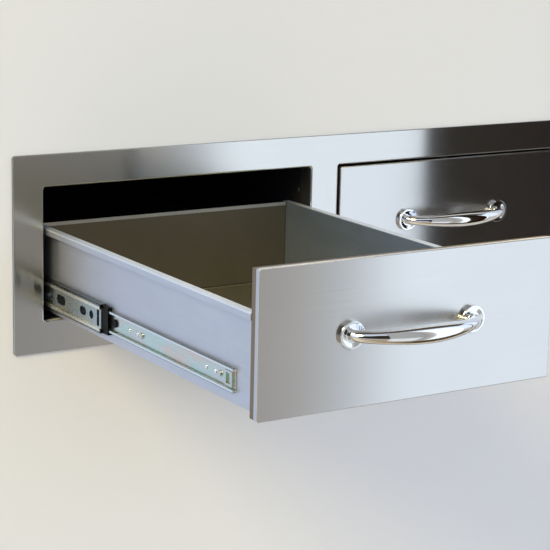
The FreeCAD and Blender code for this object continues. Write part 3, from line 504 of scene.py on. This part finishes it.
def dress_cad():
    """Gives each CAD node its slot's material, or its special one."""
    for entry in record["subparts"]:
        finish = entry["material_slot"]
        for ending, special in SPECIAL_FINISHES.items():
            if entry["node"].endswith(ending):
                finish = special
        piece = nodes[entry["node"]]
        piece.data.materials.clear()
        piece.data.materials.append(MATERIALS[finish])


def add_button(mesh, web, side, along):
    """One button rivet on a slide's web, turned about an axis along X."""
    rings = []
    for radius, height in BUTTON_PROFILE:
        ring = []
        for step in range(BUTTON_SIDES):
            turn = 2 * math.pi * step / BUTTON_SIDES
            across, up = radius * math.cos(turn), radius * math.sin(turn)
            ring.append(mesh.verts.new((web + side * height, along + across, SLIDE_LEVEL + up)))
        rings.append(ring)
    for near, far in zip(rings, rings[1:]):
        for step in range(BUTTON_SIDES):
            after = (step + 1) % BUTTON_SIDES
            mesh.faces.new((near[step], near[after], far[after], far[step]))
    mesh.faces.new(rings[0])
    mesh.faces.new(rings[-1])


def make_buttons():
    """Bright button rivets in the spare holes of each drawer's slide members."""
    for drawer in ("left", "right"):
        mesh = bmesh.new()
        for hand, side in (("left", -1), ("right", 1)):
            low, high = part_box(f"{drawer}_drawer_{hand}_slide_inner")
            web = high[0] - SLIDE_SHEET if side < 0 else low[0] + SLIDE_SHEET
            for station in BUTTON_STATIONS:
                add_button(mesh, web, side, low[1] + station)
        bmesh.ops.recalc_face_normals(mesh, faces=mesh.faces)
        data = bpy.data.meshes.new(f"{drawer}_slide_buttons")
        mesh.to_mesh(data)
        mesh.free()
        for face in data.polygons:
            face.use_smooth = len(face.vertices) == 4
        buttons = bpy.data.objects.new(data.name, data)
        scene.collection.objects.link(buttons)
        data.materials.append(MATERIALS["button_steel"])
        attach(buttons, f"{drawer}_drawer")


def flat_piece(name, outlines, material):
    """A flat mesh with one face for each outline."""
    points = []
    faces = []
    for outline in outlines:
        faces.append(tuple(range(len(points), len(points) + len(outline))))
        points.extend(outline)
    mesh = bpy.data.meshes.new(name)
    mesh.from_pydata(points, [], faces)
    mesh.materials.append(material)
    made = bpy.data.objects.new(name, mesh)
    scene.collection.objects.link(made)
    return made


def plain_surface(name, colour, one_sided):
    """A plain matt colour, seen from the front only where it is one-sided."""
    material = bpy.data.materials.new(name)
    tree = Tree(material)
    surface = tree.add("ShaderNodeBsdfDiffuse", {"Color": colour}).outputs["BSDF"]
    if one_sided:
        behind = tree.add("ShaderNodeNewGeometry").outputs["Backfacing"]
        clear = tree.add("ShaderNodeBsdfTransparent").outputs["BSDF"]
        surface = tree.add("ShaderNodeMixShader", {0: behind, 1: surface, 2: clear}).outputs["Shader"]
    tree.add("ShaderNodeOutputMaterial", {"Surface": surface})
    return material


def make_set():
    """The pale wall with its cut-out, and the pale floor."""
    half_x, half_z = CUTOUT_HALF
    left, right = -WALL_HALF_WIDTH, WALL_HALF_WIDTH
    low, high = FLOOR_LEVEL, WALL_TOP
    panels = []
    for x0, x1, z0, z1 in (
        (left, -half_x, low, high), (half_x, right, low, high),
        (-half_x, half_x, half_z, high), (-half_x, half_x, low, -half_z),
    ):
        panels.append([(x, WALL_PLACE, z) for x, z in ((x0, z0), (x1, z0), (x1, z1), (x0, z1))])
    wall = flat_piece("wall", panels, plain_surface("wall", WALL_COLOUR, True))
    near, far = FLOOR_FRONT, FLOOR_BACK
    ground = [(left, near, low), (right, near, low), (right, far, low), (left, far, low)]
    floor = flat_piece("floor", [ground], plain_surface("floor", FLOOR_COLOUR, False))


def make_key():
    """A soft key light from the upper left."""
    lamp = bpy.data.lights.new("key", "AREA")
    lamp.shape = "SQUARE"
    lamp.size = KEY_SIZE
    lamp.energy = KEY_WATTS
    lamp.color = KEY_COLOUR
    key = bpy.data.objects.new("key", lamp)
    key.location = KEY_PLACE
    key.rotation_euler = (Vector(KEY_AIM) - Vector(KEY_PLACE)).to_track_quat("-Z", "Y").to_euler()
    scene.collection.objects.link(key)


def make_surround():
    """A soft light from all round, which changes with height only."""
    world = bpy.data.worlds.new("surround")
    tree = Tree(world)
    height = tree.axes(tree.add("ShaderNodeTexCoord").outputs["Generated"])["Z"]
    shell = tree.add("ShaderNodeBackground", {"Color": tree.ramp(tree.share(height, -1.0, 1.0), SURROUND)})
    tree.add("ShaderNodeOutputWorld", {"Surface": shell.outputs["Background"]})
    scene.world = world


def make_cards():
    """The cards that the metal reflects."""
    for name, (first, last, stops) in CARDS.items():
        left, right = first[0], last[0]
        material = bpy.data.materials.new(name)
        tree = Tree(material)
        across = tree.axes(tree.add("ShaderNodeTexCoord").outputs["Object"])["X"]
        shares = [((x - left) / (right - left), colour) for x, colour in stops]
        glow = tree.add("ShaderNodeEmission", {"Color": tree.ramp(tree.share(across, left, right), shares)})
        tree.add("ShaderNodeOutputMaterial", {"Surface": glow.outputs["Emission"]})
        card = flat_piece(name, [[first, (left, *last[1:]), last, (right, *first[1:])]], material)
        card.visible_camera = False
        card.visible_diffuse = False
        card.visible_shadow = False


def make_camera():
    """The camera of the photograph."""
    lens = bpy.data.cameras.new("camera")
    lens.sensor_fit = "HORIZONTAL"
    lens.sensor_width = SENSOR_MM
    lens.lens = CAMERA_FOCAL_PX / IMAGE_PX * SENSOR_MM
    lens.clip_start = CAMERA_NEAR
    lens.clip_end = CAMERA_FAR
    camera = bpy.data.objects.new("camera", lens)
    aim = Euler((math.pi / 2 - CAMERA_PITCH, 0, -CAMERA_YAW)).to_matrix()
    turn = aim @ Matrix.Rotation(CAMERA_ROLL, 3, "Z")
    camera.matrix_world = Matrix.Translation(CAMERA_PLACE) @ turn.to_4x4()
    scene.collection.objects.link(camera)
    scene.camera = camera


scene.view_settings.view_transform = "Standard"
dress_cad()
make_buttons()
make_set()
make_key()
make_surround()
make_cards()
make_camera()
